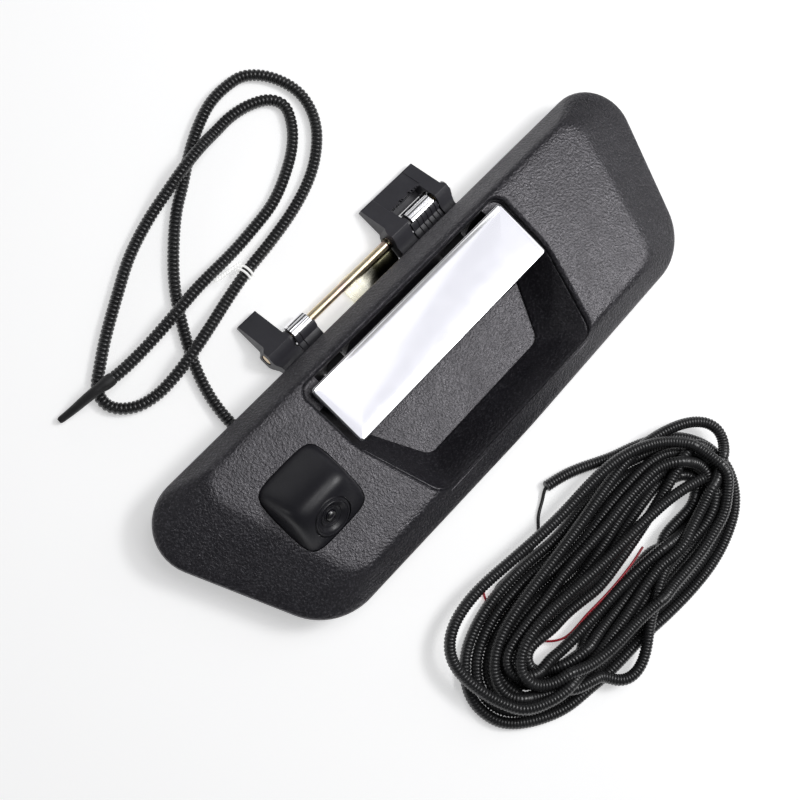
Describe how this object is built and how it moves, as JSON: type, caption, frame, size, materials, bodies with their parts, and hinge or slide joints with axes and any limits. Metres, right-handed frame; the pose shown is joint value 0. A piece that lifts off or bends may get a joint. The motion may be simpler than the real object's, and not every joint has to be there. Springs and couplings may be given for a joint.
{
  "type": "tailgate handle with backup camera",
  "caption": "Truck tailgate pull handle in a black bezel with a dome camera beside it, a corrugated pigtail and a coiled extension harness.",
  "frame": {"origin": "middle of the assembly without its cords, at the surface that it lies on", "axes": "+X along the bezel, +Y towards its upper edge, where the handle's hinge is, +Z out of its face"},
  "size_m": [0.3506, 0.3728, 0.0486],
  "materials": {
    "bezel_plastic": "fine moulded grain",
    "hood_plastic": "satin",
    "block_nylon": "satin moulded",
    "chrome_plate": "mirror",
    "yellow_zinc": "iridescent passivated zinc",
    "fastener_steel": "satin",
    "black_rubber": "matte",
    "lens_glass": "polished, coated",
    "board": "solder mask",
    "loom_plastic": "satin corrugated",
    "wire_black": "satin",
    "wire_red": "satin",
    "tie_white": "satin"
  },
  "bodies": {
    "bezel": {"bezel": "bezel_plastic", "camera_hood": "hood_plastic", "lens_ring": "hood_plastic", "lens_barrel": "hood_plastic", "lens_glass": "lens_glass", "lens_seal": "black_rubber", "camera_body": "hood_plastic", "camera_board": "board", "camera_back_cap": "hood_plastic", "cable_boot": "black_rubber", "camera_screw_1": "fastener_steel", "camera_screw_2": "fastener_steel", "pivot_block_left": "block_nylon", "pivot_block_right": "block_nylon", "block_screw_1": "fastener_steel", "block_screw_2": "fastener_steel", "block_screw_3": "fastener_steel", "hinge_pin": "yellow_zinc", "pin_clip": "fastener_steel", "spacer_bush": "block_nylon", "return_spring": "fastener_steel", "bump_stop_1": "black_rubber", "bump_stop_2": "black_rubber", "mount_stud_1": "fastener_steel", "mount_stud_2": "fastener_steel", "mount_stud_3": "fastener_steel", "mount_stud_4": "fastener_steel", "pigtail_loom": "loom_plastic", "pigtail_sleeve": "black_rubber", "pigtail_plug": "wire_black", "pigtail_tie": "tie_white", "harness_hank": "loom_plastic", "harness_tail": "loom_plastic", "harness_loop_left": "loom_plastic", "harness_loop_right": "loom_plastic", "harness_loop_low": "loom_plastic", "harness_wire_black": "wire_black", "harness_wire_red": "wire_red"},
    "handle": {"handle_paddle": "chrome_plate", "handle_arm_left": "chrome_plate", "handle_arm_right": "chrome_plate", "arm_screw_1": "fastener_steel", "arm_screw_2": "fastener_steel", "arm_screw_3": "fastener_steel", "arm_screw_4": "fastener_steel", "latch_lever": "yellow_zinc", "lever_screw_1": "fastener_steel", "lever_screw_2": "fastener_steel"}
  },
  "joints": [
    {"name": "handle_hinge", "type": "hinge", "parent": "bezel", "child": "handle", "pos_m": [0, 0.04934, 0.007], "axis": [-1, 0, 0], "range_deg": [0, 27], "stiffness_Nm_per_rad": 0.4, "springref_deg": -20.05, "deforming": ["return_spring"]}
  ]
}
